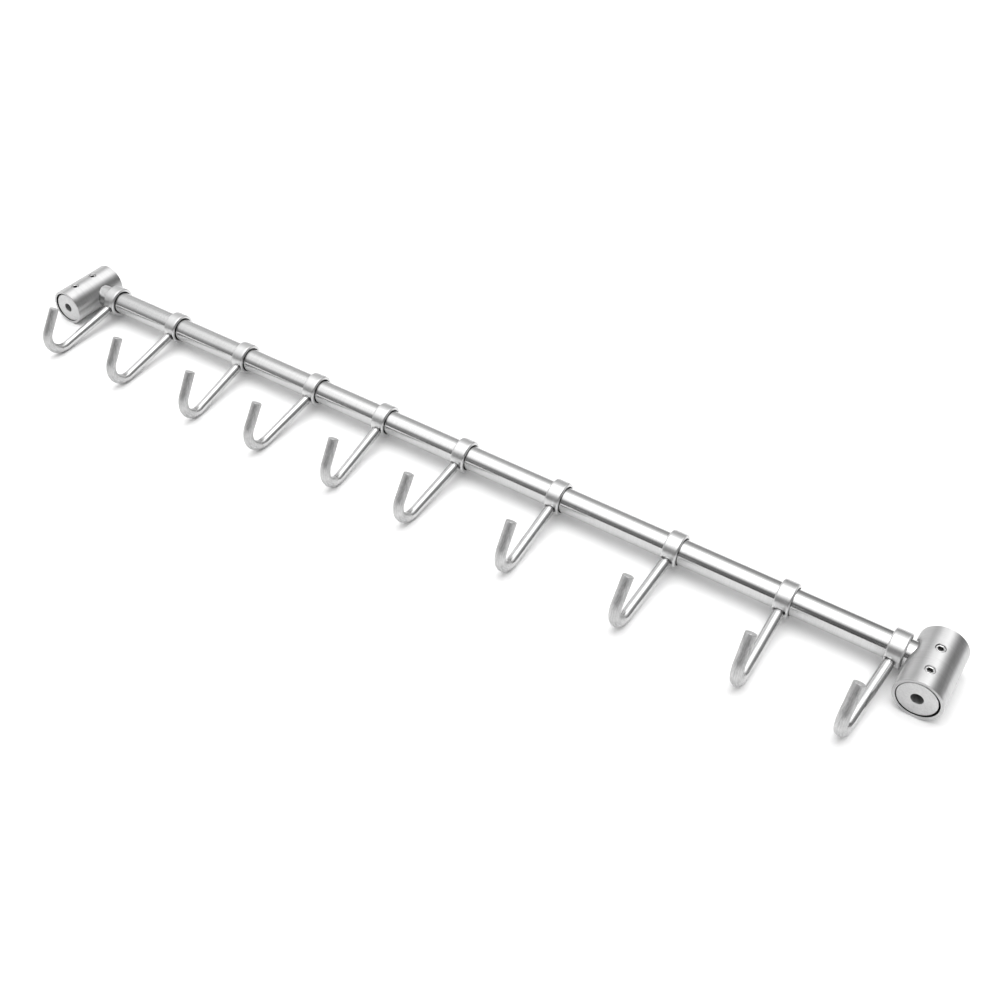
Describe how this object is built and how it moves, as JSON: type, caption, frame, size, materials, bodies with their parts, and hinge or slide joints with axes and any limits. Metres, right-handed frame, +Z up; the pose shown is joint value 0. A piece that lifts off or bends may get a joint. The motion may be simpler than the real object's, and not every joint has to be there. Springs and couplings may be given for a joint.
{
  "type": "wall coat rack",
  "caption": "Round steel rail between two turned wall brackets, with loose J-shaped wire hooks that slide along the rail and swing round it.",
  "frame": {"origin": "midway between the two wall screw holes, on the wall plane that the brackets' rims meet, which lies 0.5 mm towards the wall from the plug faces where those holes start, and at the height of the rail's axis", "axes": "+X along the rail to the right in the picture, +Y out from the wall through the brackets, +Z up in the lying pose of the picture, with the set screws on top"},
  "size_m": [0.5, 0.0666, 0.0297],
  "materials": {
    "rail_steel": "brushed round the tube",
    "bracket_steel": "satin turned",
    "plug_steel": "matte turned",
    "screw_steel": "satin",
    "collar_steel": "satin brushed",
    "wire_steel": "satin brushed"
  },
  "bodies": {
    "rack": {"rail_tube": "rail_steel", "left_bracket": "bracket_steel", "right_bracket": "bracket_steel", "left_wall_plug": "plug_steel", "right_wall_plug": "plug_steel", "left_plug_set_screw": "screw_steel", "left_rail_set_screw": "screw_steel", "right_plug_set_screw": "screw_steel", "right_rail_set_screw": "screw_steel"},
    "slider_01": {"collar_01": "collar_steel"},
    "wire_01": {"hook_01": "wire_steel"},
    "slider_02": {"collar_02": "collar_steel"},
    "wire_02": {"hook_02": "wire_steel"},
    "slider_03": {"collar_03": "collar_steel"},
    "wire_03": {"hook_03": "wire_steel"},
    "slider_04": {"collar_04": "collar_steel"},
    "wire_04": {"hook_04": "wire_steel"},
    "slider_05": {"collar_05": "collar_steel"},
    "wire_05": {"hook_05": "wire_steel"},
    "slider_06": {"collar_06": "collar_steel"},
    "wire_06": {"hook_06": "wire_steel"},
    "slider_07": {"collar_07": "collar_steel"},
    "wire_07": {"hook_07": "wire_steel"},
    "slider_08": {"collar_08": "collar_steel"},
    "wire_08": {"hook_08": "wire_steel"},
    "slider_09": {"collar_09": "collar_steel"},
    "wire_09": {"hook_09": "wire_steel"},
    "slider_10": {"collar_10": "collar_steel"},
    "wire_10": {"hook_10": "wire_steel"}
  },
  "joints": [
    {"name": "hook_01_slide", "type": "slide", "parent": "rack", "child": "slider_01", "axis": [1, 0, 0], "range_m": [-0.0052, 0.0396]},
    {"name": "hook_01_swing", "type": "hinge", "parent": "slider_01", "child": "wire_01", "pos_m": [-0.221, 0.0215, 0], "axis": [1, 0, 0], "continuous": true},
    {"name": "hook_02_slide", "type": "slide", "parent": "rack", "child": "slider_02", "axis": [1, 0, 0], "range_m": [-0.0396, 0.0421]},
    {"name": "hook_02_swing", "type": "hinge", "parent": "slider_02", "child": "wire_02", "pos_m": [-0.17401, 0.0215, 0], "axis": [1, 0, 0], "continuous": true},
    {"name": "hook_03_slide", "type": "slide", "parent": "rack", "child": "slider_03", "axis": [1, 0, 0], "range_m": [-0.0421, 0.038]},
    {"name": "hook_03_swing", "type": "hinge", "parent": "slider_03", "child": "wire_03", "pos_m": [-0.12452, 0.0215, 0], "axis": [1, 0, 0], "continuous": true},
    {"name": "hook_04_slide", "type": "slide", "parent": "rack", "child": "slider_04", "axis": [1, 0, 0], "range_m": [-0.038, 0.0366]},
    {"name": "hook_04_swing", "type": "hinge", "parent": "slider_04", "child": "wire_04", "pos_m": [-0.07603, 0.0215, 0], "axis": [1, 0, 0], "continuous": true},
    {"name": "hook_05_slide", "type": "slide", "parent": "rack", "child": "slider_05", "axis": [1, 0, 0], "range_m": [-0.0366, 0.0369]},
    {"name": "hook_05_swing", "type": "hinge", "parent": "slider_05", "child": "wire_05", "pos_m": [-0.03204, 0.0215, 0], "axis": [1, 0, 0], "continuous": true},
    {"name": "hook_06_slide", "type": "slide", "parent": "rack", "child": "slider_06", "axis": [1, 0, 0], "range_m": [-0.0369, 0.0447]},
    {"name": "hook_06_swing", "type": "hinge", "parent": "slider_06", "child": "wire_06", "pos_m": [0.01544, 0.0215, 0], "axis": [1, 0, 0], "continuous": true},
    {"name": "hook_07_slide", "type": "slide", "parent": "rack", "child": "slider_07", "axis": [1, 0, 0], "range_m": [-0.0447, 0.0503]},
    {"name": "hook_07_swing", "type": "hinge", "parent": "slider_07", "child": "wire_07", "pos_m": [0.06753, 0.0215, 0], "axis": [1, 0, 0], "continuous": true},
    {"name": "hook_08_slide", "type": "slide", "parent": "rack", "child": "slider_08", "axis": [1, 0, 0], "range_m": [-0.0503, 0.0441]},
    {"name": "hook_08_swing", "type": "hinge", "parent": "slider_08", "child": "wire_08", "pos_m": [0.12652, 0.0215, 0], "axis": [1, 0, 0], "continuous": true},
    {"name": "hook_09_slide", "type": "slide", "parent": "rack", "child": "slider_09", "axis": [1, 0, 0], "range_m": [-0.0441, 0.0368]},
    {"name": "hook_09_swing", "type": "hinge", "parent": "slider_09", "child": "wire_09", "pos_m": [0.17801, 0.0215, 0], "axis": [1, 0, 0], "continuous": true},
    {"name": "hook_10_slide", "type": "slide", "parent": "rack", "child": "slider_10", "axis": [1, 0, 0], "range_m": [-0.0368, 0.0008]},
    {"name": "hook_10_swing", "type": "hinge", "parent": "slider_10", "child": "wire_10", "pos_m": [0.2253, 0.0215, 0], "axis": [1, 0, 0], "continuous": true}
  ]
}
